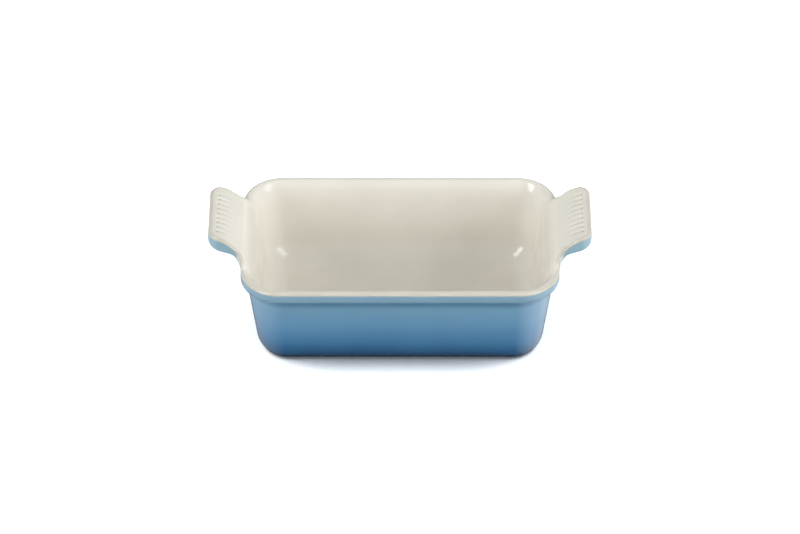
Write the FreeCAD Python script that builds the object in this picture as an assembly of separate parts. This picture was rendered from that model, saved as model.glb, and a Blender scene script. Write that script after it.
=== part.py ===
import FreeCAD, Part
import math
import os

# Glazed stoneware loaf pan with a wing handle at each end.
#
# Millimetres, +Z up, +X along the long side. The origin is the centre of the foot's underside.
# Each outline below is the finished, glazed surface. The fired clay is the same outline drawn in
# by the glaze's thickness, so what lies between the two is the glaze.

# Rim
RIM_HALF_X = 124.0
RIM_HALF_Y = 73.0
RIM_CORNER_R = 31.0
RIM_HEIGHT = 77.5
LIP_WIDTH = 7.5
LIP_EDGE_R = 2.6
COLLAR_HEIGHT = 10.0
COLLAR_STEP = 4.0

# Outer wall: straight and drafted, then a rounded heel that stops short of vertical at the foot
WALL_CORNER_R = 32.0
WALL_DRAFT = math.radians(7.5)
HEEL_R = 14.0
HEEL_END = math.radians(47.0)

# Baking cavity
CAVITY_DRAFT = math.radians(9.0)
CAVITY_CORNER_R = 25.0
CAVITY_FLOOR_R = 22.0
FLOOR_TOP = 8.5

# Foot that the pan stands on. Its outer side is glazed down to just above the bottom.
FOOT_HEIGHT = 1.6
FOOT_WIDTH = 6.0
FOOT_BARE = 0.4

# Handle in plan: straight tip, round corners, straight sides that flare out into the rim
HANDLE_TIP_X = 149.3
HANDLE_HALF_Y = 34.8
HANDLE_CORNER_R = 10.0
FLARE_START_X = 133.0
FLARE_END_X = 123.0
FLARE_R = 12.5
HANDLE_EDGE_R = 3.0

# Handle from the side: points (x, z) along its top and its underside
HANDLE_TOP = [(115.5, 72.5), (118.2, 78.7), (121.5, 83.5), (124.8, 87.6), (128.7, 92.0),
              (132.6, 95.7), (140.4, 100.1), (146.0, 101.2), (149.3, 101.3)]
HANDLE_UNDER = [(149.3, 89.8), (146.0, 88.7), (140.0, 86.5), (134.6, 85.3), (131.4, 84.6),
                (129.3, 82.9), (127.5, 80.0), (125.7, 75.2), (123.4, 71.0)]

# Grip grooves in the top of each handle
GROOVE_COUNT = 9
GROOVE_PITCH = 5.62
GROOVE_HALF_WIDTH = 1.25
GROOVE_DEPTH = 0.9
GROOVE_START_X = 129.0
GROOVE_END_X = 142.6

# Glaze. The cream glaze ends this far below the rim's and the handles' top surface.
GLAZE = 0.5
GLAZE_LINE_DROP = 1.7
CREAM_REACH = 2.0

FAR = 400.0


def vec(x, y, z):
    return FreeCAD.Vector(x, y, z)


def line(start, end):
    return Part.LineSegment(start, end).toShape()


def extruded(face, way):
    """Solid swept from the face, centred on where the face was."""
    solid = face.extrude(way)
    solid.translate(way * -0.5)
    return solid


def mirrored(shape):
    return shape.mirror(vec(0, 0, 0), vec(1, 0, 0))


def slab(low, high):
    return Part.makeBox(2 * FAR, 2 * FAR, high - low, vec(-FAR, -FAR, low))


def edges_at(shape, z):
    """Edges that lie wholly at one height."""
    return [edge for edge in shape.Edges
            if abs(edge.BoundBox.ZMin - z) < 1e-4 and abs(edge.BoundBox.ZMax - z) < 1e-4]


def rounded_rectangle(half_x, half_y, radius, z):
    """Closed wire of four corner arcs and the four sides between them."""
    inner_x = half_x - radius
    inner_y = half_y - radius
    edges = []
    for quarter in range(4):
        sx = (1, -1, -1, 1)[quarter]
        sy = (1, 1, -1, -1)[quarter]
        points = []
        for turn in (0, 45, 90):
            angle = math.radians(90 * quarter + turn)
            points.append(vec(sx * inner_x + radius * math.cos(angle),
                              sy * inner_y + radius * math.sin(angle), z))
        if edges:
            edges.append(line(last, points[0]))
        else:
            first = points[0]
        edges.append(Part.Arc(*points).toShape())
        last = points[2]
    edges.append(line(last, first))
    return Part.Wire(edges)


def straight_block(half_x, half_y, radius, low, high):
    face = Part.Face(rounded_rectangle(half_x, half_y, radius, low))
    return face.extrude(vec(0, 0, high - low))


def drafted_block(half_x, half_y, radius, level, draft, low, high):
    """Block with the given section at the level, widening upwards by the draft."""
    wires = []
    for z in (low, high):
        grow = (z - level) * math.tan(draft)
        wires.append(rounded_rectangle(half_x + grow, half_y + grow, radius + grow, z))
    return Part.makeLoft(wires, True, True)


def outer_wall(skin):
    """Drafted wall with a rounded heel, cut off flat at the base."""
    inset = COLLAR_STEP + skin / math.cos(WALL_DRAFT)
    low = FOOT_HEIGHT - HEEL_R * (1 - math.sin(HEEL_END)) + skin
    top = RIM_HEIGHT - COLLAR_HEIGHT / 2
    block = drafted_block(RIM_HALF_X - inset, RIM_HALF_Y - inset, WALL_CORNER_R + COLLAR_STEP - inset,
                          RIM_HEIGHT - COLLAR_HEIGHT, WALL_DRAFT, low, top)
    block = block.makeFillet(HEEL_R - skin, edges_at(block, low))
    return block.common(slab(FOOT_HEIGHT + skin, FAR))


def collar(skin):
    """Band round the rim, with its lower edge rounded."""
    low = RIM_HEIGHT - COLLAR_HEIGHT + skin
    block = straight_block(RIM_HALF_X - skin, RIM_HALF_Y - skin, RIM_CORNER_R - skin,
                           low, RIM_HEIGHT - skin)
    return block.makeFillet(LIP_EDGE_R - skin, edges_at(block, low))


def cavity(skin):
    """The hollow, grown by the skin. It has a rounded floor edge and runs on above the rim."""
    inset = LIP_WIDTH - skin / math.cos(CAVITY_DRAFT)
    floor = FLOOR_TOP - skin
    block = drafted_block(RIM_HALF_X - inset, RIM_HALF_Y - inset, CAVITY_CORNER_R + LIP_WIDTH - inset,
                          RIM_HEIGHT, CAVITY_DRAFT, floor, RIM_HEIGHT + 40.0)
    return block.makeFillet(CAVITY_FLOOR_R + skin, edges_at(block, floor))


def vessel(skin):
    """Wall, collar and hollow, with both edges of the lip rounded."""
    body = outer_wall(skin).fuse(collar(skin)).removeSplitter().cut(cavity(skin))
    return body.makeFillet(LIP_EDGE_R - skin, edges_at(body, RIM_HEIGHT - skin))


def side_curve(points, inwards):
    """Smooth curve in the XZ plane, moved sideways towards the inside of the handle."""
    curve = Part.BSplineCurve()
    curve.interpolate([vec(x, 0, z) for x, z in points])
    moved = []
    for x, z in points:
        at = curve.parameter(vec(x, 0, z))
        run = curve.tangent(at)[0]
        moved.append(curve.value(at) + vec(run.z, 0, -run.x) * inwards)
    shifted = Part.BSplineCurve()
    shifted.interpolate(moved)
    return shifted


def handle_section(skin):
    """Face in the XZ plane between the handle's top and its underside."""
    top = side_curve(HANDLE_TOP, skin)
    under = side_curve(HANDLE_UNDER, skin)
    return Part.Face(Part.Wire([top.toShape(), line(top.EndPoint, under.StartPoint),
                                under.toShape(), line(under.EndPoint, top.StartPoint)]))


def handle_outline(skin):
    """Face of the handle's outline in plan, from inside the wall to the tip."""
    tip = HANDLE_TIP_X - skin
    half_y = HANDLE_HALF_Y - skin
    corner = HANDLE_CORNER_R - skin
    flare = FLARE_R + skin
    inner = RIM_HALF_X - 2 * LIP_WIDTH
    side = []
    for turn in (0, 45, 90):
        angle = math.radians(turn)
        side.append(vec(tip - corner + corner * math.cos(angle),
                        half_y - corner + corner * math.sin(angle), 0))
    flare_turn = math.asin((FLARE_START_X - FLARE_END_X) / flare)
    for turn in (0, flare_turn / 2, flare_turn):
        side.append(vec(FLARE_START_X - flare * math.sin(turn),
                        half_y + flare * (1 - math.cos(turn)), 0))
    side.append(vec(inner, side[-1].y, 0))
    edges = []
    for sign in (1, -1):
        p = [vec(point.x, sign * point.y, 0) for point in side]
        half = [Part.Arc(p[0], p[1], p[2]).toShape(), line(p[2], p[3]),
                Part.Arc(p[3], p[4], p[5]).toShape(), line(p[5], p[6])]
        edges += half
    edges.append(line(vec(tip, half_y - corner, 0), vec(tip, corner - half_y, 0)))
    edges.append(line(side[-1], vec(inner, -side[-1].y, 0)))
    return Part.Face(Part.Wire(Part.__sortEdges__(edges)))


def groove_cutter(skin):
    """Cutter for the middle groove. Its bottom follows the handle's top, and its ends are round."""
    bottom = side_curve(HANDLE_TOP, skin + GROOVE_DEPTH)
    start = bottom.StartPoint
    end = bottom.EndPoint
    lift = vec(0, 0, 20.0)
    above = Part.Face(Part.Wire([bottom.toShape(), line(end, end + lift),
                                 line(end + lift, start + lift), line(start + lift, start)]))
    half = GROOVE_HALF_WIDTH + skin
    middle_x = (GROOVE_START_X + GROOVE_END_X) / 2
    window = straight_block((GROOVE_END_X - GROOVE_START_X) / 2 + skin, half, half * 0.95, 0, FAR)
    window.translate(vec(middle_x, 0, 0))
    return extruded(above, vec(0, 4 * half, 0)).common(window)


def right_handle(skin):
    """The handle at +X, with rounded edges and a grooved top."""
    wing = extruded(handle_section(skin), vec(0, 4 * HANDLE_HALF_Y, 0))
    wing = wing.common(handle_outline(skin).extrude(vec(0, 0, FAR)))
    rounded = []
    for edge in wing.Edges:
        box = edge.BoundBox
        upright = box.XLength < 0.1 and box.YLength < 0.1
        if box.XMax > RIM_HALF_X + LIP_EDGE_R and not upright:
            rounded.append(edge)
    wing = wing.makeFillet(HANDLE_EDGE_R - skin, rounded)
    cutter = groove_cutter(skin)
    for i in range(GROOVE_COUNT):
        groove = cutter.copy()
        groove.translate(vec(0, (i - (GROOVE_COUNT - 1) / 2) * GROOVE_PITCH, 0))
        wing = wing.cut(groove)
    return wing


def over_handle():
    """Space above the line on the +X handle where its cream glaze ends."""
    edge = side_curve(HANDLE_TOP, GLAZE_LINE_DROP)
    start = edge.StartPoint
    end = edge.EndPoint
    beyond = vec(FAR, 0, end.z)
    face = Part.Face(Part.Wire([edge.toShape(), line(end, beyond), line(beyond, vec(FAR, 0, FAR)),
                                line(vec(FAR, 0, FAR), vec(start.x, 0, FAR)),
                                line(vec(start.x, 0, FAR), start)]))
    return extruded(face, vec(0, 2 * FAR, 0))


def cream_space():
    """Space that holds the cream glaze: the hollow, the lip and the tops of the handles."""
    flare_turn = math.asin((FLARE_START_X - FLARE_END_X) / FLARE_R)
    flare_half_y = HANDLE_HALF_Y + FLARE_R * (1 - math.cos(flare_turn))
    root_x = side_curve(HANDLE_TOP, GLAZE_LINE_DROP).StartPoint.x
    both_roots = Part.makeBox(2 * FAR, 2 * flare_half_y, 2 * FAR, vec(-FAR, -flare_half_y, -FAR))
    between_roots = Part.makeBox(2 * root_x, 2 * FAR, 2 * FAR, vec(-root_x, -FAR, -FAR))
    lip = slab(RIM_HEIGHT - GLAZE_LINE_DROP, FAR).cut(both_roots.cut(between_roots))
    handle = over_handle()
    return cavity(CREAM_REACH).fuse([lip, handle, mirrored(handle)])


def foot_wall(inset, low, high):
    """Ring under the heel, set in from where the glazed heel ends."""
    heel_top = FOOT_HEIGHT + HEEL_R * (math.sin(HEEL_END) - math.sin(WALL_DRAFT))
    inset += COLLAR_STEP + (RIM_HEIGHT - COLLAR_HEIGHT - heel_top) * math.tan(WALL_DRAFT)
    inset += HEEL_R * (math.cos(WALL_DRAFT) - math.cos(HEEL_END))
    half_x = RIM_HALF_X - inset
    half_y = RIM_HALF_Y - inset
    radius = WALL_CORNER_R + COLLAR_STEP - inset
    ring = straight_block(half_x, half_y, radius, low, high)
    return ring.cut(straight_block(half_x - FOOT_WIDTH, half_y - FOOT_WIDTH, radius - FOOT_WIDTH,
                                   low, high))


def write(name, shape):
    solids = shape.Solids
    assert solids and shape.isValid(), name
    whole = solids[0] if len(solids) == 1 else Part.makeCompound(solids)
    whole.exportStep("parts/" + name + ".step")
    print(name, [round(solid.Volume) for solid in solids], "mm3")


def main():
    os.makedirs("parts", exist_ok=True)

    basin = vessel(GLAZE)
    handle = right_handle(GLAZE).cut(cavity(GLAZE)).cut(basin)
    foot = foot_wall(GLAZE, 0, FOOT_HEIGHT + GLAZE)
    clay = basin.fuse([handle, mirrored(handle), foot])

    glazed_handle = right_handle(0).cut(cavity(0))
    glazed_foot = foot_wall(0, FOOT_BARE, FOOT_HEIGHT)
    outside = vessel(0).fuse([glazed_handle, mirrored(glazed_handle), glazed_foot])
    glaze = outside.cut(clay)
    cream = cream_space()

    write("basin", basin)
    write("right_handle", handle)
    write("left_handle", mirrored(handle))
    write("foot_ring", foot)
    write("interior_glaze", glaze.common(cream))
    write("exterior_glaze", glaze.cut(cream))


main()
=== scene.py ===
import math

import bpy
import numpy as np
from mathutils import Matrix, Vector


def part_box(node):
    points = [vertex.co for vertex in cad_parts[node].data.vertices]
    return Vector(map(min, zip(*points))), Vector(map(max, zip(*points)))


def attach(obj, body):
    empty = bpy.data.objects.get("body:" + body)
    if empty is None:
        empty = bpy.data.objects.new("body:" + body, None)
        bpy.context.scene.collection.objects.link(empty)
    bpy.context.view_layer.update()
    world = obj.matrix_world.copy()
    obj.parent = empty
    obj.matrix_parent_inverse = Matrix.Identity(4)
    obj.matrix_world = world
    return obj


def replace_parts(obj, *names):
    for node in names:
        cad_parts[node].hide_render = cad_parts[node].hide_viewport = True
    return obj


# Glazed stoneware loaf pan: a cream glaze, a blue glaze, the fired clay under them and the bare foot.
#
# Every surface is a stack of closed rings. The rings have the same stations, or every second or
# fourth one where the shape is simple, so that neighbours join up. A quarter of a ring is worked out,
# and mirrored into the other three. Lengths are in metres.

MM = 0.001

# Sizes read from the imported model
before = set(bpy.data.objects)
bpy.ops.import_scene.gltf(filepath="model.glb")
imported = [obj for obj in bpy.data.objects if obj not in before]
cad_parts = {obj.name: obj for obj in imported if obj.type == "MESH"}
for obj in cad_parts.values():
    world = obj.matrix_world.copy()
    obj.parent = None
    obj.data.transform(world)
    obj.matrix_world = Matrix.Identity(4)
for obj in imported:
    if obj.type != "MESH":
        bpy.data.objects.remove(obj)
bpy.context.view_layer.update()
GLAZE = 0.5 * MM
SKIN = GLAZE * 0.9  # depth of a glaze's hidden back, a little less than the clay's
basin_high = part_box("basin")[1]
RIM_X = basin_high.x + GLAZE
RIM_Y = basin_high.y + GLAZE
RIM_Z = basin_high.z + GLAZE
TIP_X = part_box("exterior_glaze")[1].x
FOOT_INSET = RIM_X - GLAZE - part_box("foot_ring")[1].x

# Rim
RIM_R = 31 * MM
LIP_WIDTH = 9.5 * MM
LIP_INNER_OUT = 3.8 * MM
LIP_INNER_DOWN = 16 * MM
LIP_OUTER_R = 2.6 * MM
LIP_CROWN = 0.2 * MM
COLLAR_HEIGHT = 10 * MM
COLLAR_STEP = 4 * MM
COLLAR_EDGE_R = 3.0 * MM
CREASE_R = 1.4 * MM

# Outer wall, heel and foot
WALL_R = 32 * MM
WALL_DRAFT = math.radians(7.5)
HEEL_R = 14 * MM
HEEL_END = math.radians(47)
FOOT_HEIGHT = 1.6 * MM
FOOT_SHOULDER_Z = FOOT_HEIGHT * 0.72
FOOT_WIDTH = 6 * MM
FOOT_BARE = 0.4 * MM
FOOT_EDGE_R = 0.5 * MM
MENISCUS_R = 0.7 * MM

# Cavity
CAVITY_DRAFT = math.radians(7)
CAVITY_FLOOR_R = 22 * MM
CAVITY_CORNER_TAPER = 0.4
FLOOR_Z = 8.5 * MM

# Handle in plan. Angles are of the outline's heading, from straight along X.
FLARE_R = 4.2 * MM
FLARE_Y = 39.8 * MM
TIP_CORNER_R = 10 * MM
SIDE_TAPER = math.radians(9.2)
BLEND_START = math.radians(82)
HANDLE_EDGE_R = 3 * MM
EDGE_FULL_REACH = 9 * MM
UNDERSIDE_FULL_REACH = 5 * MM
RISE_FROM_Y = 52 * MM
RISE_TO_Y = 36.2 * MM
RISE_BEND = 2.2

# Handle from the side, in millimetres: (x, z) along its top and its underside, outwards
TOP = [(115.2, 71.0), (117.4, 77.2), (119.7, 81.5), (122.0, 84.8), (124.8, 87.9), (128.7, 92.0),
       (132.6, 95.7), (136.5, 98.4), (140.4, 100.1), (146.0, 101.2), (149.3, 101.3)]
UNDER = [(124.0, 70.4), (124.15, 73.4), (124.6, 76.8), (125.6, 80.0), (127.2, 82.5), (129.4, 84.1),
         (132.0, 85.0), (134.6, 85.6), (140.0, 86.7), (146.0, 88.7), (149.3, 89.8)]
LEAD_X, LEAD_Z = TOP[0][0] * MM, TOP[0][1] * MM
FACE_X, FACE_Z = UNDER[0][0] * MM, UNDER[0][1] * MM
FACE_SPLIT_Z = 73.2 * MM
LOWER_EDGE_SHARE = 0.22
ROOT_BREAK = (125.2 * MM, 37 * MM)
ROOT_BREAK_R = 2.4 * MM
ROOT_BREAK_FADE = 4 * MM

# Grip grooves, deepest at the end near the tip, with a pit there, and a fine line at the root
GROOVES = 9
GROOVE_PITCH = 5.62 * MM
GROOVE_HALF_WIDTH = 1.15 * MM
GROOVE_DEPTH = 0.75 * MM
GROOVE_SQUARENESS = 1.7
GROOVE_FADE_X = 126.5 * MM
GROOVE_END_X = 142.9 * MM
GROOVE_END_LENGTH = 0.9 * MM
PIT_X = 142.1 * MM
PIT_R = 0.85 * MM
PIT_DEPTH = 0.75 * MM
ROOT_LINE_X = 121.8 * MM
ROOT_LINE_DEPTH = 0.14 * MM
ROOT_LINE_HALF_WIDTH = 0.7 * MM

# Unevenness of the poured glaze
WAVE_HEIGHT = 0.012 * MM
WAVES = 7
WAVE_PITCH = 21 * MM
WAVE_PITCH_STEP = 9 * MM

# Stations in a quarter of a ring, all even, and rows in each stretch of the section
SIDE_STATIONS = 28
CORNER_STATIONS = 20
HANDLE_STATIONS = 116
FLOOR_ROWS = 12
CAVITY_ROWS = 10
TOP_ROWS = 68
EDGE_ROWS = 8
FACE_ROWS = 4
UNDER_ROWS = 26
COLLAR_ROWS = 6
CREASE_ROWS = 4
WALL_ROWS = 14
HEEL_ROWS = 12
MENISCUS_ROWS = 4
FOOT_EDGE_ROWS = 3
CREAM_EDGE_ROWS = 5
LIP_POINTS = 24
HANDLE_START = SIDE_STATIONS + CORNER_STATIONS
QUARTER = HANDLE_START + HANDLE_STATIONS

# Rows left out between the rows of hidden surfaces
CREAM_BACK_STEP = 3
BLUE_BACK_STEP = 2
CLAY_CAVITY_STEP = 3
CLAY_TOP_STEP = 4
CLAY_WALL_STEP = 2

# Rows over which the glazes thin at the seam between them, and over which the blue darkens round the crease:
# pooled glaze, with painted shade under the collar's overhang
CREAM_THIN_ROWS = 8
BLUE_THIN_ROWS = 3
POOL_AND_SHADE_ABOVE_ROWS = 5
POOL_AND_SHADE_FULL_ROWS = 2
POOL_AND_SHADE_BELOW_ROWS = 2.2

TINY = 1e-9  # keeps a division clear of zero


def smoothstep(t):
    """Eases from 0 to 1, and stays there outside that stretch."""
    t = np.clip(t, 0, 1)
    return t * t * (3 - 2 * t)


def steps(count):
    """The ends of a number of equal steps from 0 to 1."""
    return np.linspace(0, 1, count + 1)


def run_length(points):
    """Length along the points, up to each of them."""
    return np.concatenate([[0], np.cumsum(np.linalg.norm(np.diff(points, axis=0), axis=1))])


class SmoothCurve:
    """Smooth curve through points in the XZ plane, read by its length or by x."""

    def __init__(self, points, fine=400):
        at = np.array(points, float) * MM
        knots = run_length(at)
        slopes = np.gradient(at, knots, axis=0)
        t = np.linspace(0, knots[-1], fine)
        i = np.clip(np.searchsorted(knots, t) - 1, 0, len(knots) - 2)
        span = (knots[i + 1] - knots[i])[:, None]
        u = (t - knots[i])[:, None] / span
        start = (2 * u**3 - 3 * u**2 + 1) * at[i] + (u**3 - 2 * u**2 + u) * span * slopes[i]
        end = (3 * u**2 - 2 * u**3) * at[i + 1] + (u**3 - u**2) * span * slopes[i + 1]
        self.x, self.z = (start + end).T
        self.length = run_length(start + end)

    def at_length(self, s):
        return np.interp(s, self.length, self.x), np.interp(s, self.length, self.z)

    def length_at_x(self, x):
        return np.interp(x, self.x, self.length)

    def height(self, x):
        return np.interp(x, self.x, self.z)


top_curve = SmoothCurve(TOP)
under_curve = SmoothCurve(UNDER)


def walk(start, heading, legs, distance):
    """Points and headings at distances along a path of legs (length, turn), each a line or an arc."""
    x, y, way = (np.zeros_like(distance) for _ in range(3))
    px, py = start
    done = 0.0
    for length, turn in legs:
        along = np.append(distance - done, length)
        bend = heading + turn * along / length
        if turn:
            radius = length / turn
            leg_x = px + radius * (np.sin(bend) - math.sin(heading))
            leg_y = py - radius * (np.cos(bend) - math.cos(heading))
        else:
            leg_x = px + along * math.cos(heading)
            leg_y = py + along * math.sin(heading)
        here = distance >= done
        x[here], y[here], way[here] = leg_x[:-1][here], leg_y[:-1][here], bend[:-1][here]
        px, py = leg_x[-1], leg_y[-1]
        heading += turn
        done += length
    return x, y, way


def ring_plan(half_x, half_y, radius, q):
    """Plan of a rounded rectangle. q is 0 to 1 along the long side, 1 to 2 round the corner and
    2 to 3 along the short side."""
    angle = np.clip(q - 1, 0, 1) * math.pi / 2
    inner_x = half_x - radius
    inner_y = half_y - radius
    x = np.where(q < 1, q * inner_x, inner_x + radius * np.sin(angle))
    y = np.where(q > 2, (3 - q) * inner_y, inner_y + radius * np.cos(angle))
    return x, y


class Stations:
    """Stations of a quarter ring: where they lie on the rim, on the handle's outline, and how far
    the handle has risen and reached out there."""

    def __init__(self):
        q_start = 1 + BLEND_START / (math.pi / 2)
        share = steps(HANDLE_STATIONS)
        arc = (RIM_R - LIP_WIDTH) * (math.pi / 2 - BLEND_START)
        straight = RIM_Y - RIM_R
        along = share * (arc + straight)
        handle = np.where(along < arc, q_start + along / arc * (2 - q_start), 2 + (along - arc) / straight)
        self.q = np.concatenate([steps(SIDE_STATIONS)[:-1],
                                 1 + steps(CORNER_STATIONS)[:-1] * (q_start - 1), handle])
        self.rim_x, self.rim_y = ring_plan(RIM_X, RIM_Y, RIM_R, self.q)
        angle = np.clip(self.q - 1, 0, 1) * math.pi / 2
        x, y, way = self.handle_outline(share)
        first = HANDLE_START
        self.edge_x = np.concatenate([self.rim_x[:first], x])
        self.edge_y = np.concatenate([self.rim_y[:first], y])
        self.out_x = np.concatenate([np.sin(angle[:first]), -np.sin(way)])
        self.out_y = np.concatenate([np.cos(angle[:first]), np.cos(way)])
        on_handle = np.arange(len(self.q)) >= first
        inwards = (RISE_FROM_Y - self.edge_y) / (RISE_FROM_Y - RISE_TO_Y)
        self.rise = on_handle * smoothstep(inwards) ** RISE_BEND
        self.reach = on_handle * np.maximum(self.edge_x - self.rim_x, 0)
        self.wing = smoothstep(self.reach / UNDERSIDE_FULL_REACH)
        self.top_r = LIP_OUTER_R + (HANDLE_EDGE_R - LIP_OUTER_R) * self.rise
        self.under_r = HANDLE_EDGE_R * smoothstep(self.reach / EDGE_FULL_REACH)

    def handle_outline(self, share):
        """The rim's corner, the flare, the side, the tip's corner and half the tip."""
        centre_x, centre_y = RIM_X - RIM_R, RIM_Y - RIM_R
        start = (centre_x + RIM_R * math.sin(BLEND_START), centre_y + RIM_R * math.cos(BLEND_START))
        side_x = RIM_X + FLARE_R * (1 - math.sin(SIDE_TAPER))
        side_y = FLARE_Y - FLARE_R * math.cos(SIDE_TAPER)
        corner_x = TIP_X - TIP_CORNER_R * (1 - math.sin(SIDE_TAPER))
        side_length = (corner_x - side_x) / math.cos(SIDE_TAPER)
        tip_half = side_y - side_length * math.sin(SIDE_TAPER) - TIP_CORNER_R * math.cos(SIDE_TAPER)
        corner_turn = math.pi / 2 - SIDE_TAPER
        legs = [(RIM_R * (math.pi / 2 - BLEND_START), BLEND_START - math.pi / 2),
                (centre_y - FLARE_Y, 0),
                (FLARE_R * corner_turn, corner_turn),
                (side_length, 0),
                (TIP_CORNER_R * corner_turn, -corner_turn),
                (tip_half, 0)]
        total = sum(length for length, turn in legs)
        return walk(start, -BLEND_START, legs, share * total)

    def inwards(self, distance):
        """Plan of the outline moved in by a distance."""
        return self.edge_x - self.out_x * distance, self.edge_y - self.out_y * distance


stations = Stations()


def level(half_x, half_y, radius, z):
    """A quarter ring at one height."""
    x, y = ring_plan(half_x, half_y, radius, stations.q)
    return np.stack([x, y, np.full_like(x, z)], 1)


def cavity_level(inset, z):
    """A quarter ring inside the pan, set in from the inner edge of the lip."""
    radius = RIM_R - LIP_WIDTH - CAVITY_CORNER_TAPER * inset
    return level(RIM_X - LIP_WIDTH - inset, RIM_Y - LIP_WIDTH - inset, radius, z)


def collar_level(inset, z):
    """A quarter ring on the collar, set in from the rim."""
    return level(RIM_X - inset, RIM_Y - inset, RIM_R - inset, z)


def wall_level(inset, z):
    """A quarter ring on the wall under the collar, set in from the rim."""
    return level(RIM_X - inset, RIM_Y - inset, WALL_R + COLLAR_STEP - inset, z)


def roll_out(z):
    """How far the lip's soft inner edge has rolled out of the line of the cavity's wall."""
    width = LIP_INNER_OUT + LIP_INNER_DOWN * math.tan(CAVITY_DRAFT)
    risen = np.clip((z - RIM_Z) / LIP_INNER_DOWN + 1, 0, 1)
    return width * (1 - np.sqrt(1 - risen**2))


def cavity_rows():
    """From the flat of the floor up the cavity's wall, to where the lip or the handle begins."""
    slope = math.tan(CAVITY_DRAFT)
    centre_z = FLOOR_Z + CAVITY_FLOOR_R
    tangent_z = centre_z - CAVITY_FLOOR_R * math.sin(CAVITY_DRAFT)
    rows = []
    for t in steps(FLOOR_ROWS)[:-1]:
        angle = math.pi / 2 + (CAVITY_DRAFT - math.pi / 2) * t
        inset = (RIM_Z - tangent_z) * slope
        inset += CAVITY_FLOOR_R * (math.cos(CAVITY_DRAFT) - math.cos(angle))
        rows.append(cavity_level(inset, centre_z - CAVITY_FLOOR_R * math.sin(angle)))
    for t in steps(CAVITY_ROWS)[:-1]:
        z = tangent_z + (LEAD_Z - tangent_z) * t
        rows.append(cavity_level((RIM_Z - z) * slope - roll_out(z), z))
    return rows


def lip_curve():
    """Distance out from the line of the cavity's wall at the rim, and height, over the lip."""
    start = math.asin((LEAD_Z - RIM_Z) / LIP_INNER_DOWN + 1)
    up = RIM_Z + LIP_INNER_DOWN * (np.sin(np.linspace(start, math.pi / 2, LIP_POINTS)) - 1)
    out = roll_out(up) - (RIM_Z - up) * math.tan(CAVITY_DRAFT)
    return np.append(out, LIP_WIDTH - LIP_OUTER_R), np.append(up, RIM_Z + LIP_CROWN)


def groove_depth(x, y):
    """How deep the grip grooves are at a place on the handle's top."""
    outermost = GROOVES // 2
    nearest = np.clip(np.round(y / GROOVE_PITCH), -outermost, outermost) * GROOVE_PITCH
    across = np.exp(-np.abs((y - nearest) / GROOVE_HALF_WIDTH) ** GROOVE_SQUARENESS)
    ramp = smoothstep((x - GROOVE_FADE_X) / (GROOVE_END_X - GROOVE_FADE_X))
    end = smoothstep((GROOVE_END_X - x) / GROOVE_END_LENGTH)
    root = ROOT_LINE_DEPTH * np.exp(-((x - ROOT_LINE_X) / ROOT_LINE_HALF_WIDTH) ** 2)
    pit = np.exp(-((y - nearest) ** 2 + (x - PIT_X) ** 2) / PIT_R**2)
    return GROOVE_DEPTH * across * ramp * end + PIT_DEPTH * pit + root


def top_rows():
    """Over the lip or the handle, as far as the rounded outer edge."""
    out, up = lip_curve()
    inner = cavity_level(-out[0], LEAD_Z)
    outer_x, outer_y = stations.inwards(stations.top_r)
    last = top_curve.length_at_x(outer_x)
    length = run_length(np.stack([out, up], 1))
    rows = []
    for t in steps(TOP_ROWS)[:-1]:
        lip_out = np.interp(t * length[-1], length, out)
        lip_z = np.interp(t * length[-1], length, up)
        lip_share = (lip_out - out[0]) / (out[-1] - out[0])
        wing_x, wing_z = top_curve.at_length(last * t)
        wing_share = (wing_x - LEAD_X) / (outer_x - LEAD_X)
        share = np.where(stations.rise > 0, lip_share + (wing_share - lip_share) * stations.rise, lip_share)
        x = inner[:, 0] + (outer_x - inner[:, 0]) * share
        y = inner[:, 1] + (outer_y - inner[:, 1]) * share
        z = lip_z + (wing_z - lip_z) * stations.rise
        rows.append(np.stack([x, y, z - groove_depth(x, y) * stations.rise], 1))
    return rows


def edge_rows():
    """Over the rounded top edge."""
    rows = []
    for t in steps(EDGE_ROWS)[:-1]:
        angle = t * math.pi / 2
        x, y = stations.inwards(stations.top_r * (1 - math.sin(angle)))
        lip_z = RIM_Z + LIP_CROWN * (1 - t)
        top = lip_z + (top_curve.height(x) - lip_z) * stations.rise
        rows.append(np.stack([x, y, top - stations.top_r * (1 - math.cos(angle))], 1))
    return rows


def lower_edge(t):
    """Round the handle's lower edge and back under it to the collar's face, as t goes from 0 to 1.
    Away from the handles it is the same stretch of the collar's face."""
    inner_x, inner_y = stations.inwards(stations.under_r)
    if t < LOWER_EDGE_SHARE:
        angle = t / LOWER_EDGE_SHARE * math.pi / 2
        x, y = stations.inwards(stations.under_r * (1 - math.cos(angle)))
        z = under_curve.height(np.maximum(x, FACE_X)) + stations.under_r * (1 - math.sin(angle))
    else:
        left = 1 - (t - LOWER_EDGE_SHARE) / (1 - LOWER_EDGE_SHARE)
        under_x, z = under_curve.at_length(under_curve.length_at_x(np.maximum(inner_x, FACE_X)) * left)
        share = np.clip((under_x - RIM_X) / np.maximum(inner_x - RIM_X, TINY), 0, 1)
        x = stations.rim_x + (inner_x - stations.rim_x) * share
        y = stations.rim_y + (inner_y - stations.rim_y) * share
    face_z = FACE_SPLIT_Z + (FACE_Z - FACE_SPLIT_Z) * t
    return np.stack([stations.rim_x + (x - stations.rim_x) * stations.wing,
                     stations.rim_y + (y - stations.rim_y) * stations.wing,
                     face_z + (z - face_z) * stations.wing], 1)


def face_rows():
    """Down the side face, from one rounded edge to the other."""
    top = RIM_Z + (top_curve.height(stations.edge_x) - RIM_Z) * stations.rise - stations.top_r
    high = np.stack([stations.edge_x, stations.edge_y, top], 1)
    low = lower_edge(0)
    return [high + (low - high) * t for t in steps(FACE_ROWS)[:-1]]


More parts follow.
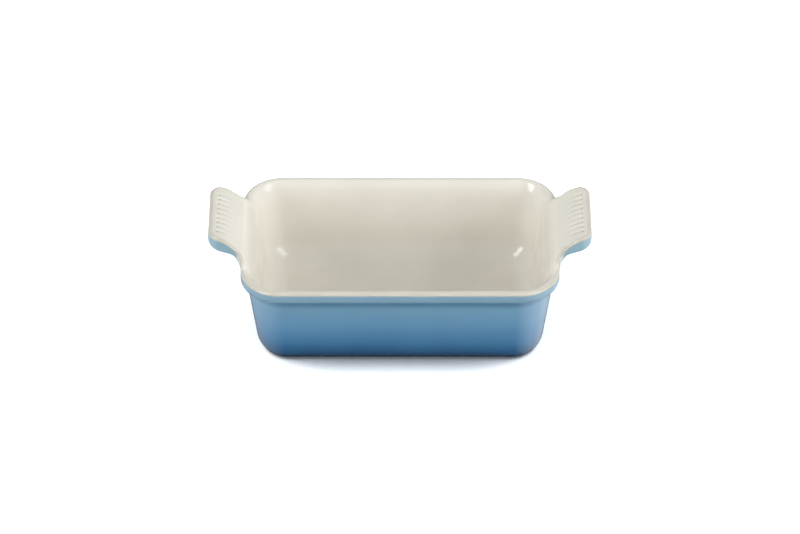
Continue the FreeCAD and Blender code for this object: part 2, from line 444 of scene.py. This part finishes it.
def wall_rows():
    """From the collar's face round its lower edge, the crease, the wall, the heel and the foot."""
    base_z = RIM_Z - COLLAR_HEIGHT
    slope = math.tan(WALL_DRAFT)
    rows = [collar_level(0, FACE_Z)]
    for t in steps(COLLAR_ROWS):
        angle = t * math.pi / 2
        rows.append(collar_level(COLLAR_EDGE_R * (1 - math.cos(angle)),
                                 base_z + COLLAR_EDGE_R * (1 - math.sin(angle))))
    for t in steps(CREASE_ROWS):
        angle = t * math.pi / 2
        inset = COLLAR_STEP - CREASE_R * (1 - math.sin(angle))
        z = base_z - CREASE_R * (1 - math.cos(angle))
        rows.append((collar_level(inset, z) * (1 - t) + wall_level(inset, z) * (1 + t)) / 2)
    heel_z = FOOT_HEIGHT + HEEL_R * math.sin(HEEL_END)
    heel_top = heel_z - HEEL_R * math.sin(WALL_DRAFT)
    wall_top = base_z - CREASE_R
    for t in steps(WALL_ROWS)[1:-1]:
        z = wall_top + (heel_top - wall_top) * t
        rows.append(wall_level(COLLAR_STEP + (base_z - z) * slope, z))
    for t in steps(HEEL_ROWS):
        angle = WALL_DRAFT + (HEEL_END - WALL_DRAFT) * t
        inset = COLLAR_STEP + (base_z - heel_top) * slope
        inset += HEEL_R * (math.cos(WALL_DRAFT) - math.cos(angle))
        rows.append(wall_level(inset, heel_z - HEEL_R * math.sin(angle)))
    rows.append(wall_level(FOOT_INSET, FOOT_SHOULDER_Z))
    rows.append(wall_level(FOOT_INSET, FOOT_BARE))
    return rows


def around(quarter):
    """The whole ring, clockwise from above, from a quarter ring."""
    back = quarter[::-1]
    return np.concatenate([quarter[:-1],
                           back[:-1] * (1, -1, 1),
                           quarter[:-1] * (-1, -1, 1),
                           back[:-1] * (-1, 1, 1)])


def normals_of(rings):
    """Outward normals of a stack of rings, from differences along and across them."""
    grid = np.stack(rings)
    down = np.gradient(grid, axis=0)
    along = np.roll(grid, -1, axis=1) - np.roll(grid, 1, axis=1)
    normal = np.cross(along, down)
    return normal / np.maximum(np.linalg.norm(normal, axis=2, keepdims=True), 1e-12)


def coarse_ring(inset, z):
    """A whole ring under the pan, with every fourth station."""
    return around(wall_level(inset, z))[::4]


def glaze_wave(points):
    """Very shallow unevenness of a poured and fired glaze: waves of several pitches and directions."""
    height = np.zeros(len(points))
    for i in range(WAVES):
        way = np.array([math.cos(2.4 * i), math.sin(2.4 * i), 0.6 * math.sin(1.7 * i)])
        pitch = WAVE_PITCH + WAVE_PITCH_STEP * i
        height += np.sin(points @ way * 2 * math.pi / pitch + 1.3 * i)
    return height * WAVE_HEIGHT


class MeshBuilder:
    """Collects rings of points and the faces between them, and makes a piece from those in use."""

    def __init__(self):
        self.points = []
        self.marks = []
        self.faces = []
        self.count = 0

    def add(self, ring, edge_break=0.0, pooling_and_shade=0.0):
        """Adds points with how much the glaze breaks to clay there, and how much the blue darkens for pooled
        glaze and painted shade. Gives their numbers.
        """
        self.points.append(ring)
        marks = np.zeros((len(ring), 2))
        marks[:, 0], marks[:, 1] = edge_break, pooling_and_shade
        self.marks.append(marks)
        self.count += len(ring)
        return np.arange(self.count - len(ring), self.count)

    def strip(self, a, b):
        """Quads between two rows of points that don't close."""
        self.faces += np.stack([a[1:], b[1:], b[:-1], a[:-1]], 1).tolist()

    def join(self, a, b):
        """Faces between two rings. One may have every second station only."""
        if len(a) == len(b):
            self.strip(np.append(a, a[0]), np.append(b, b[0]))
            return
        fine, coarse = (a, b) if len(a) > len(b) else (b, a)
        even, odd, after = fine[::2], fine[1::2], np.roll(fine, -2)[::2]
        beside = np.roll(coarse, -1)
        faces = np.concatenate([np.stack([odd, coarse, even], 1), np.stack([odd, beside, coarse], 1),
                                np.stack([after, beside, odd], 1)])
        self.faces += (faces if fine is a else faces[:, ::-1]).tolist()

    def cap(self, ring, upwards):
        """Fills a flat ring with a grid of quads, cornered in the middles of the ring's corners."""
        corner = round(len(ring) // 4 * (SIDE_STATIONS + CORNER_STATIONS / 2) / QUARTER)
        long, short = 2 * corner, len(ring) // 2 - 2 * corner
        ring = np.roll(ring, corner)
        at = np.concatenate(self.points)[ring]
        top, right = np.arange(long + 1), np.arange(long, long + short + 1)
        bottom = np.arange(2 * long + short, long + short - 1, -1)
        left = np.append(0, np.arange(len(ring) - 1, 2 * long + short - 1, -1))
        u, v = steps(long)[:, None, None], steps(short)[None, :, None]
        grid = at[top][:, None] * (1 - v) + at[bottom][:, None] * v
        grid = grid + at[left][None] * (1 - u) + at[right][None] * u
        grid -= (at[0] * (1 - v) + at[bottom[0]] * v) * (1 - u)
        grid -= (at[long] * (1 - v) + at[bottom[-1]] * v) * u
        index = np.zeros((long + 1, short + 1), int)
        index[:, 0], index[:, -1], index[0], index[-1] = ring[top], ring[bottom], ring[left], ring[right]
        index[1:-1, 1:-1] = self.add(grid[1:-1, 1:-1].reshape(-1, 3)).reshape(long - 1, short - 1)
        quads = np.stack([index[:-1, :-1], index[1:, :-1], index[1:, 1:], index[:-1, 1:]], 2)
        quads = quads.reshape(-1, 4)
        self.faces += (quads[:, ::-1] if upwards else quads).tolist()

    def build(self, name, mat):
        used = np.unique(np.concatenate([np.array(face) for face in self.faces]))
        renumber = np.zeros(self.count, int)
        renumber[used] = np.arange(len(used))
        mesh = bpy.data.meshes.new(name)
        faces = [[int(renumber[i]) for i in face] for face in self.faces]
        mesh.from_pydata(np.concatenate(self.points)[used].tolist(), [], faces)
        marks = np.concatenate(self.marks)[used].astype(np.float32)
        for i, mark in enumerate(("edge_break", "pooling_and_shade")):
            layer = mesh.attributes.new(mark, "FLOAT", "POINT")
            layer.data.foreach_set("value", np.ascontiguousarray(marks[:, i]))
        mesh.polygons.foreach_set("use_smooth", [True] * len(mesh.polygons))
        mesh.materials.append(mat)
        mesh.update()
        piece = bpy.data.objects.new(name, mesh)
        bpy.context.scene.collection.objects.link(piece)
        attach(piece, "root")
        return piece


class Surface:
    """The glazed surface as rings, from the floor of the cavity over the rim and down to the foot."""

    def __init__(self):
        cavity, top, edge, face = cavity_rows(), top_rows(), edge_rows(), face_rows()
        under = [lower_edge(t) for t in steps(UNDER_ROWS)[:-1]]
        wall = wall_rows()
        rings = [around(row) for row in cavity + top + edge + face + under + wall]
        self.normals = normals_of(rings)
        self.rings = [ring + out * glaze_wave(ring)[:, None] for ring, out in zip(rings, self.normals)]
        # Numbers of the rings where the lip, its outer edge, the blue glaze, the collar and the crease begin
        self.lead = len(cavity)
        self.edge = self.lead + len(top)
        self.seam = self.edge + CREAM_EDGE_ROWS
        self.face = len(rings) - len(wall)
        self.crease = self.face + 1 + COLLAR_ROWS + 1 + CREASE_ROWS // 2
        self.last = len(rings) - 1

    def drawn_in(self, i, depth):
        """A ring moved in under the surface."""
        return self.rings[i] - self.normals[i] * depth

    def thinned(self, i):
        """All stations where the handles are, and every second one elsewhere."""
        return self.rings[i] if self.lead <= i <= self.face + 1 else self.rings[i][::2]


def fading(rows_away, spread):
    """From 1 down to 0 over a number of rows."""
    return float(1 - smoothstep(rows_away / spread))


def root_break(ring):
    """Where the glaze thins, round the corner between a handle's side and the collar."""
    x, y, z = np.abs(ring).T
    near = ((y - ROOT_BREAK[1]) / ROOT_BREAK_R) ** 2 + ((x - ROOT_BREAK[0]) / ROOT_BREAK_R) ** 2
    return np.exp(-near) * smoothstep((z - FACE_SPLIT_Z) / ROOT_BREAK_FADE)


def add_interior_glaze(surface, mat):
    """Cream glaze: floor, cavity, lip and handle tops, as a closed skin."""
    mesh = MeshBuilder()
    previous = mesh.add(surface.thinned(0))
    mesh.cap(previous, upwards=True)
    for i in range(1, surface.seam + 1):
        current = mesh.add(surface.thinned(i), fading(surface.seam - i, CREAM_THIN_ROWS))
        mesh.join(previous, current)
        previous = current
    current = mesh.add(surface.drawn_in(surface.seam, SKIN))
    mesh.join(previous, current)
    for i in range(surface.seam - CREAM_BACK_STEP, 0, -CREAM_BACK_STEP):
        previous = current
        current = mesh.add(surface.drawn_in(i, SKIN)[::2])
        mesh.join(previous, current)
    mesh.cap(current, upwards=False)
    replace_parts(mesh.build("cream_glaze_coat", mat), "interior_glaze")


def add_exterior_glaze(surface, mat):
    """Blue glaze: a closed skin down the outside, and another inside the foot ring."""
    mesh = MeshBuilder()
    first = mesh.add(surface.rings[surface.seam], 1.0)
    current = first
    for i in range(surface.seam + 1, surface.last + 1):
        previous = current
        # Painted shade with pooled glaze: the blue darkens round the crease, and further down the wall where
        # the collar's overhang would shade it
        below = i - surface.crease
        if below > 0:
            pooling_and_shade = fading(below - POOL_AND_SHADE_FULL_ROWS, POOL_AND_SHADE_BELOW_ROWS)
        else:
            pooling_and_shade = fading(-below, POOL_AND_SHADE_ABOVE_ROWS)
        ring = surface.thinned(i)
        thin = np.maximum(fading(i - surface.seam, BLUE_THIN_ROWS), root_break(ring))
        current = mesh.add(ring, thin, pooling_and_shade)
        mesh.join(previous, current)
    for i in [*range(surface.last, surface.seam + 1, -BLUE_BACK_STEP), surface.seam]:
        previous = current
        drawn_in = surface.drawn_in(i, SKIN)
        current = mesh.add(drawn_in if i == surface.seam else drawn_in[::2])
        mesh.join(previous, current)
    mesh.join(current, first)
    inner = FOOT_INSET + GLAZE + FOOT_WIDTH
    current = mesh.add(coarse_ring(inner, FOOT_HEIGHT + SKIN))
    mesh.cap(current, upwards=True)
    for t in steps(MENISCUS_ROWS):
        angle = t * math.pi / 2
        previous = current
        current = mesh.add(coarse_ring(inner + MENISCUS_R * (1 - math.cos(angle)),
                                       FOOT_HEIGHT - MENISCUS_R * (1 - math.sin(angle))))
        mesh.join(previous, current)
    mesh.cap(current, upwards=False)
    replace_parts(mesh.build("blue_glaze_coat", mat), "exterior_glaze")


def add_clay(surface, mat):
    """Fired clay under the glaze: the basin, and a lug at each end that meets it face to face."""
    whole = MeshBuilder()
    picked = [*range(0, surface.lead, CLAY_CAVITY_STEP),
              *range(surface.lead, surface.edge, CLAY_TOP_STEP),
              *range(surface.edge, surface.face + 1),
              *range(surface.face + 1, surface.last - 2, CLAY_WALL_STEP), surface.last - 2]
    rows = [whole.add(surface.drawn_in(i, GLAZE)[::2]) for i in picked]
    root = picked.index(surface.lead)
    end = picked.index(surface.face)
    # The rows have every second station, so half a row has as many as a full quarter
    first = HANDLE_START // 2
    half = QUARTER
    spans = {"right_handle": (first, half - first), "left_handle": (half + first, 2 * half - first)}
    for name, (a, b) in spans.items():
        lug = MeshBuilder()
        lug.points, lug.marks, lug.count = whole.points, whole.marks, whole.count
        for i in range(root, end):
            lug.strip(rows[i][a:b + 1], rows[i + 1][a:b + 1])
        lug.strip(rows[end][a:b + 1], rows[root][a:b + 1])
        lug.faces.append([int(rows[i][a]) for i in range(root, end + 1)])
        lug.faces.append([int(rows[i][b]) for i in range(end, root - 1, -1)])
        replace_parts(lug.build(name + "_clay", mat), name)
        whole.strip(rows[root][a:b + 1], rows[end][a:b + 1])
        whole.faces.append([int(rows[i][a]) for i in range(end, root - 1, -1)])
        whole.faces.append([int(rows[i][b]) for i in range(root, end + 1)])
    between = [np.arange(half - first, half + first + 1),
               np.arange(2 * half - first, 2 * half + first + 1) % (2 * half)]
    for i in range(len(rows) - 1):
        if root <= i < end:
            for side in between:
                whole.strip(rows[i][side], rows[i + 1][side])
        else:
            whole.join(rows[i], rows[i + 1])
    whole.cap(rows[0], upwards=True)
    whole.cap(rows[-1], upwards=False)
    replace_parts(whole.build("basin_clay", mat), "basin")


def add_foot(mat):
    """Bare ring under the pan, ground flat, with its edges softened."""
    outer = FOOT_INSET + GLAZE
    inner = outer + FOOT_WIDTH
    top = FOOT_HEIGHT + GLAZE
    section = [(outer, top)]
    for t in steps(FOOT_EDGE_ROWS):
        angle = t * math.pi / 2
        section.append((outer + FOOT_EDGE_R * (1 - math.cos(angle)), FOOT_EDGE_R * (1 - math.sin(angle))))
    for t in steps(FOOT_EDGE_ROWS):
        angle = t * math.pi / 2
        section.append((inner - FOOT_EDGE_R * (1 - math.sin(angle)), FOOT_EDGE_R * (1 - math.cos(angle))))
    section.append((inner, top))
    mesh = MeshBuilder()
    rings = [mesh.add(coarse_ring(inset, z)) for inset, z in section]
    for a, b in zip(rings, rings[1:] + rings[:1]):
        mesh.join(a, b)
    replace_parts(mesh.build("foot_ring_bare", mat), "foot_ring")


def feed(tree, socket, value):
    """Links a node's output to a socket, or sets the socket to a constant."""
    if isinstance(value, bpy.types.NodeSocket):
        tree.links.new(value, socket)
    else:
        socket.default_value = value


def add_node(tree, kind, inputs=None, **settings):
    node = tree.nodes.new(kind)
    for key, value in settings.items():
        setattr(node, key, value)
    for key, value in (inputs or {}).items():
        feed(tree, node.inputs[key], value)
    return node


def map_range(tree, value, low, high, to_low, to_high):
    """Moves a value from one range to another, and stops at the range's ends."""
    inputs = {"Value": value, "From Min": low, "From Max": high, "To Min": to_low, "To Max": to_high}
    return add_node(tree, "ShaderNodeMapRange", inputs).outputs["Result"]


class Nodes:
    """Short way to write a material's nodes. Noise is placed in the piece's own coordinates."""

    def __init__(self, name, **sockets):
        self.mat = bpy.data.materials.new(name)
        self.mat.use_nodes = True
        self.tree = self.mat.node_tree
        self.shader = self.tree.nodes["Principled BSDF"]
        for socket, value in sockets.items():
            self.shader.inputs[socket.replace("_", " ")].default_value = value
        self.place = self.add("ShaderNodeTexCoord").outputs["Object"]

    def add(self, kind, inputs=None, **settings):
        return add_node(self.tree, kind, inputs, **settings)

    def noise(self, per_metre, detail=3.0):
        inputs = {"Vector": self.place, "Scale": per_metre, "Detail": detail}
        return self.add("ShaderNodeTexNoise", inputs).outputs["Fac"]

    def mapped(self, value, low, high, to_low, to_high):
        return map_range(self.tree, value, low, high, to_low, to_high)

    def vary(self, per_metre, low, high, detail=3.0):
        """Noise that spreads over a range, from its usual lowest value to its usual highest."""
        return self.mapped(self.noise(per_metre, detail), NOISE_LOW, NOISE_HIGH, low, high)

    def maths(self, operation, a, b):
        return self.add("ShaderNodeMath", {0: a, 1: b}, operation=operation).outputs["Value"]

    def mark(self, name):
        """What MeshBuilder.add marked on the points."""
        return self.add("ShaderNodeAttribute", attribute_name=name).outputs["Fac"]

    def mix(self, share, a, b, blend="MIX"):
        node = self.add("ShaderNodeMix", data_type="RGBA", blend_type=blend)
        for key, value in (("Factor_Float", share), ("A_Color", a), ("B_Color", b)):
            feed(self.tree, next(s for s in node.inputs if s.identifier == key), value)
        return next(s for s in node.outputs if s.identifier == "Result_Color")

    def ramp(self, value, stops):
        node = self.add("ShaderNodeValToRGB", {"Fac": value})
        elements = node.color_ramp.elements
        while len(elements) < len(stops):
            elements.new(0.5)
        for element, (place, colour) in zip(elements, stops):
            element.position = place
            element.color = (*colour, 1)
        return node.outputs["Color"]

    def drive(self, socket, value):
        self.tree.links.new(value, self.shader.inputs[socket])

    def bump(self, height, distance, strength):
        inputs = {"Height": height, "Distance": distance, "Strength": strength}
        self.drive("Normal", self.add("ShaderNodeBump", inputs).outputs["Normal"])


# Colours and gloss. The blue's stops run from the foot up to BLUE_TOP_Z.
CREAM = (0.765, 0.738, 0.665)
CREAM_THIN = (0.47, 0.44, 0.36)
BLUE_STOPS = [(0.0, (0.009, 0.042, 0.090)), (0.10, (0.017, 0.066, 0.140)), (0.22, (0.034, 0.110, 0.205)),
              (0.45, (0.072, 0.162, 0.255)), (0.72, (0.100, 0.190, 0.258)), (0.84, (0.135, 0.222, 0.280)),
              (1.0, (0.165, 0.255, 0.300))]
BLUE_TOP_Z = 0.09
BLUE_DRIFT = 1.5 * MM
BLUE_THIN = (0.42, 0.41, 0.36)
# Dark blue round the crease under the collar: pooled glaze, and painted shade of the collar's overhang
BLUE_POOL_AND_SHADE = (0.032, 0.082, 0.138)
CLAY = (0.50, 0.42, 0.32)
SPECK = (0.10, 0.07, 0.05)
GLAZE_IOR = 1.52
CLAY_IOR = 1.45
CLAY_ROUGHNESS = 0.75
FOOT_ROUGHNESS = 0.85
NOISE_LOW = 0.3
NOISE_HIGH = 0.7
GLAZE_BUMP = (0.12 * MM, 0.35)
CLAY_BUMP = (0.08 * MM, 0.6)

# Floor and camera
FLOOR_SIZE = 60
FLOOR_COLOUR = (0.80, 0.84, 0.87)
FLOOR_ROUGHNESS = 0.9
CAMERA_ELEVATION = math.radians(40)
CAMERA_DISTANCE = 3.3
CAMERA_AIM = Vector((0, 0, 0.0445))
CAMERA_SENSOR = 36
CAMERA_LENS = 188.1
CAMERA_REACH = 50

# Studio: strength of the glow by direction, and how far round the sides and the horizon it changes
SKY_GLOW = 0.42
FRONT_GLOW = 0.09
RIGHT_GLOW = 1.5
LEFT_GLOW = 0.75
SIDE_FROM, SIDE_TO = 0.15, 0.6
HORIZON_BLEND = 0.03

# Lights. Azimuths are from the camera's side towards the right, in degrees.
LIGHT_DISTANCE = 2.2
SOFTBOX_AIM = (0, 0, 0.04)
SOFTBOXES = [  # name, azimuth, elevation, width and height, watts, whether it shows only in the gloss
    ("right_fill", 76, 25, (1.2, 1.2), 32, False),
    ("left_fill", -76, 25, (1.2, 1.2), 24, False),
    ("front_fill", 0, 25, (1.6, 1.0), 12, False),
    ("top_fill", 180, 78, (1.2, 1.2), 1.5, False),
    ("right_card", 52, 32, (1.0, 2.3), 24, True),
    ("left_card", -52, 32, (0.8, 2.3), 34, True),
]
FLOOR_LIGHTS = [("floor_light_left", -97), ("floor_light_right", 97)]
FLOOR_LIGHT_ELEVATION = 60
FLOOR_LIGHT_SPREAD = math.radians(30)
FLOOR_LIGHT_STRENGTH = 3.9


def cream_glaze():
    """Gloss cream with faint cloudiness, darker where it thins at an edge."""
    look = Nodes("cream_glaze", IOR=GLAZE_IOR)
    clouds = look.vary(26, 0.965, 1.02, detail=4)
    colour = look.mix(1.0, (*CREAM, 1), clouds, "MULTIPLY")
    thin = look.maths("MULTIPLY", look.mark("edge_break"), look.vary(60, 0.75, 1.0))
    look.drive("Base Color", look.mix(thin, colour, (*CREAM_THIN, 1)))
    look.drive("Roughness", look.vary(60, 0.10, 0.17))
    look.bump(look.noise(110, 2), *GLAZE_BUMP)
    return look.mat


def blue_glaze():
    """Gloss blue that darkens down the wall, darkens round the crease with pooled glaze and painted shade
    under the collar, and breaks to clay at its edge.
    """
    look = Nodes("blue_glaze", IOR=GLAZE_IOR)
    height = look.add("ShaderNodeSeparateXYZ", {"Vector": look.place}).outputs["Z"]
    drift = look.vary(12, -BLUE_DRIFT, BLUE_DRIFT)
    share = look.mapped(look.maths("ADD", height, drift), 0, BLUE_TOP_Z, 0, 1)
    colour = look.ramp(share, BLUE_STOPS)
    clouds = look.vary(45, 0.97, 1.025, detail=5)
    colour = look.mix(1.0, colour, clouds, "MULTIPLY")
    # Painted shade under the collar, with pooled glaze, darkens the blue round the crease
    pooled_and_shaded = look.maths("MULTIPLY", look.mark("pooling_and_shade"), look.vary(45, 0.8, 0.95))
    colour = look.mix(pooled_and_shaded, colour, (*BLUE_POOL_AND_SHADE, 1))
    thin = look.maths("MULTIPLY", look.mark("edge_break"), look.vary(60, 0.7, 1.0))
    look.drive("Base Color", look.mix(thin, colour, (*BLUE_THIN, 1)))
    look.drive("Roughness", look.vary(60, 0.09, 0.16))
    look.bump(look.noise(110, 2), *GLAZE_BUMP)
    return look.mat


def fired_clay(name, roughness):
    """Matt stoneware with dark iron specks and a fine tooth."""
    look = Nodes(name, IOR=CLAY_IOR, Roughness=roughness)
    clouds = look.vary(55, 0.88, 1.06, detail=5)
    colour = look.mix(1.0, (*CLAY, 1), clouds, "MULTIPLY")
    specks = look.mapped(look.noise(900, 2), 0.66, 0.72, 0, 0.7)
    look.drive("Base Color", look.mix(specks, colour, (*SPECK, 1)))
    look.bump(look.noise(2400, 3), *CLAY_BUMP)
    return look.mat


def add_floor():
    bpy.ops.mesh.primitive_plane_add(size=FLOOR_SIZE, location=(0, 0, 0))
    floor = bpy.context.object
    floor.name = "floor"
    look = Nodes("floor", Base_Color=(*FLOOR_COLOUR, 1), Roughness=FLOOR_ROUGHNESS)
    floor.data.materials.append(look.mat)
    floor.visible_glossy = False
    return floor


def aimed(thing, place, aim):
    """An object for a camera or lamp, put at a place and looking at another."""
    holder = bpy.data.objects.new(thing.name, thing)
    bpy.context.scene.collection.objects.link(holder)
    holder.location = place
    holder.rotation_mode = "QUATERNION"
    holder.rotation_quaternion = (Vector(aim) - Vector(place)).to_track_quat("-Z", "Y")
    return holder


def add_camera():
    lens = bpy.data.cameras.new("camera")
    lens.sensor_width = CAMERA_SENSOR
    lens.lens = CAMERA_LENS
    lens.clip_end = CAMERA_REACH
    back = Vector((0, -math.cos(CAMERA_ELEVATION), math.sin(CAMERA_ELEVATION)))
    bpy.context.scene.camera = aimed(lens, CAMERA_AIM + back * CAMERA_DISTANCE, CAMERA_AIM)


def studio_place(azimuth, elevation):
    """A place round the pan, as far off as the lights are."""
    azimuth, elevation = math.radians(azimuth), math.radians(elevation)
    return Vector((math.sin(azimuth) * math.cos(elevation),
                   -math.cos(azimuth) * math.cos(elevation), math.sin(elevation))) * LIGHT_DISTANCE


def add_studio():
    """Even glow above the horizon. Below it, in place of the floor's reflection, dim with bright sides."""
    world = bpy.data.worlds.new("studio")
    world.use_nodes = True
    tree = world.node_tree
    way = add_node(tree, "ShaderNodeSeparateXYZ",
                   {"Vector": tree.nodes.new("ShaderNodeTexCoord").outputs["Generated"]}).outputs
    right = map_range(tree, way["X"], SIDE_FROM, SIDE_TO, FRONT_GLOW, RIGHT_GLOW)
    left = map_range(tree, way["X"], -SIDE_TO, -SIDE_FROM, LEFT_GLOW, 0)
    sides = add_node(tree, "ShaderNodeMath", {0: right, 1: left}, operation="ADD").outputs["Value"]
    glow = map_range(tree, way["Z"], -HORIZON_BLEND, 0, sides, SKY_GLOW)
    feed(tree, tree.nodes["Background"].inputs["Strength"], glow)
    tree.nodes["Background"].inputs["Color"].default_value = (1, 1, 1, 1)
    bpy.context.scene.world = world


def light_only(lamp, things):
    """Keeps a lamp's light to some objects. Other objects still cast shadows in it."""
    lit = bpy.data.collections.new(lamp.name + "_lit")
    for thing in things:
        lit.objects.link(thing)
    lamp.light_linking.receiver_collection = lit


def add_lights(floor):
    """Softboxes for the pan, lighting its colour or showing in its gloss, and suns for the floor."""
    pan = [thing for thing in bpy.context.scene.objects if thing.type == "MESH" and thing != floor]
    for name, azimuth, elevation, size, watts, in_gloss in SOFTBOXES:
        light = bpy.data.lights.new(name, "AREA")
        light.shape = "RECTANGLE"
        light.size, light.size_y = size
        light.energy = watts
        lamp = aimed(light, studio_place(azimuth, elevation), SOFTBOX_AIM)
        lamp.visible_glossy = in_gloss
        lamp.visible_diffuse = not in_gloss
        light_only(lamp, pan)
    for name, azimuth in FLOOR_LIGHTS:
        light = bpy.data.lights.new(name, "SUN")
        light.angle = FLOOR_LIGHT_SPREAD
        light.energy = FLOOR_LIGHT_STRENGTH
        light_only(aimed(light, studio_place(azimuth, FLOOR_LIGHT_ELEVATION), (0, 0, 0)), [floor])
    bpy.context.scene.view_settings.view_transform = "Standard"


surface = Surface()
clay = fired_clay("clay", CLAY_ROUGHNESS)
add_interior_glaze(surface, cream_glaze())
add_exterior_glaze(surface, blue_glaze())
add_clay(surface, clay)
add_foot(fired_clay("bare_foot", FOOT_ROUGHNESS))
floor = add_floor()
add_camera()
add_studio()
add_lights(floor)
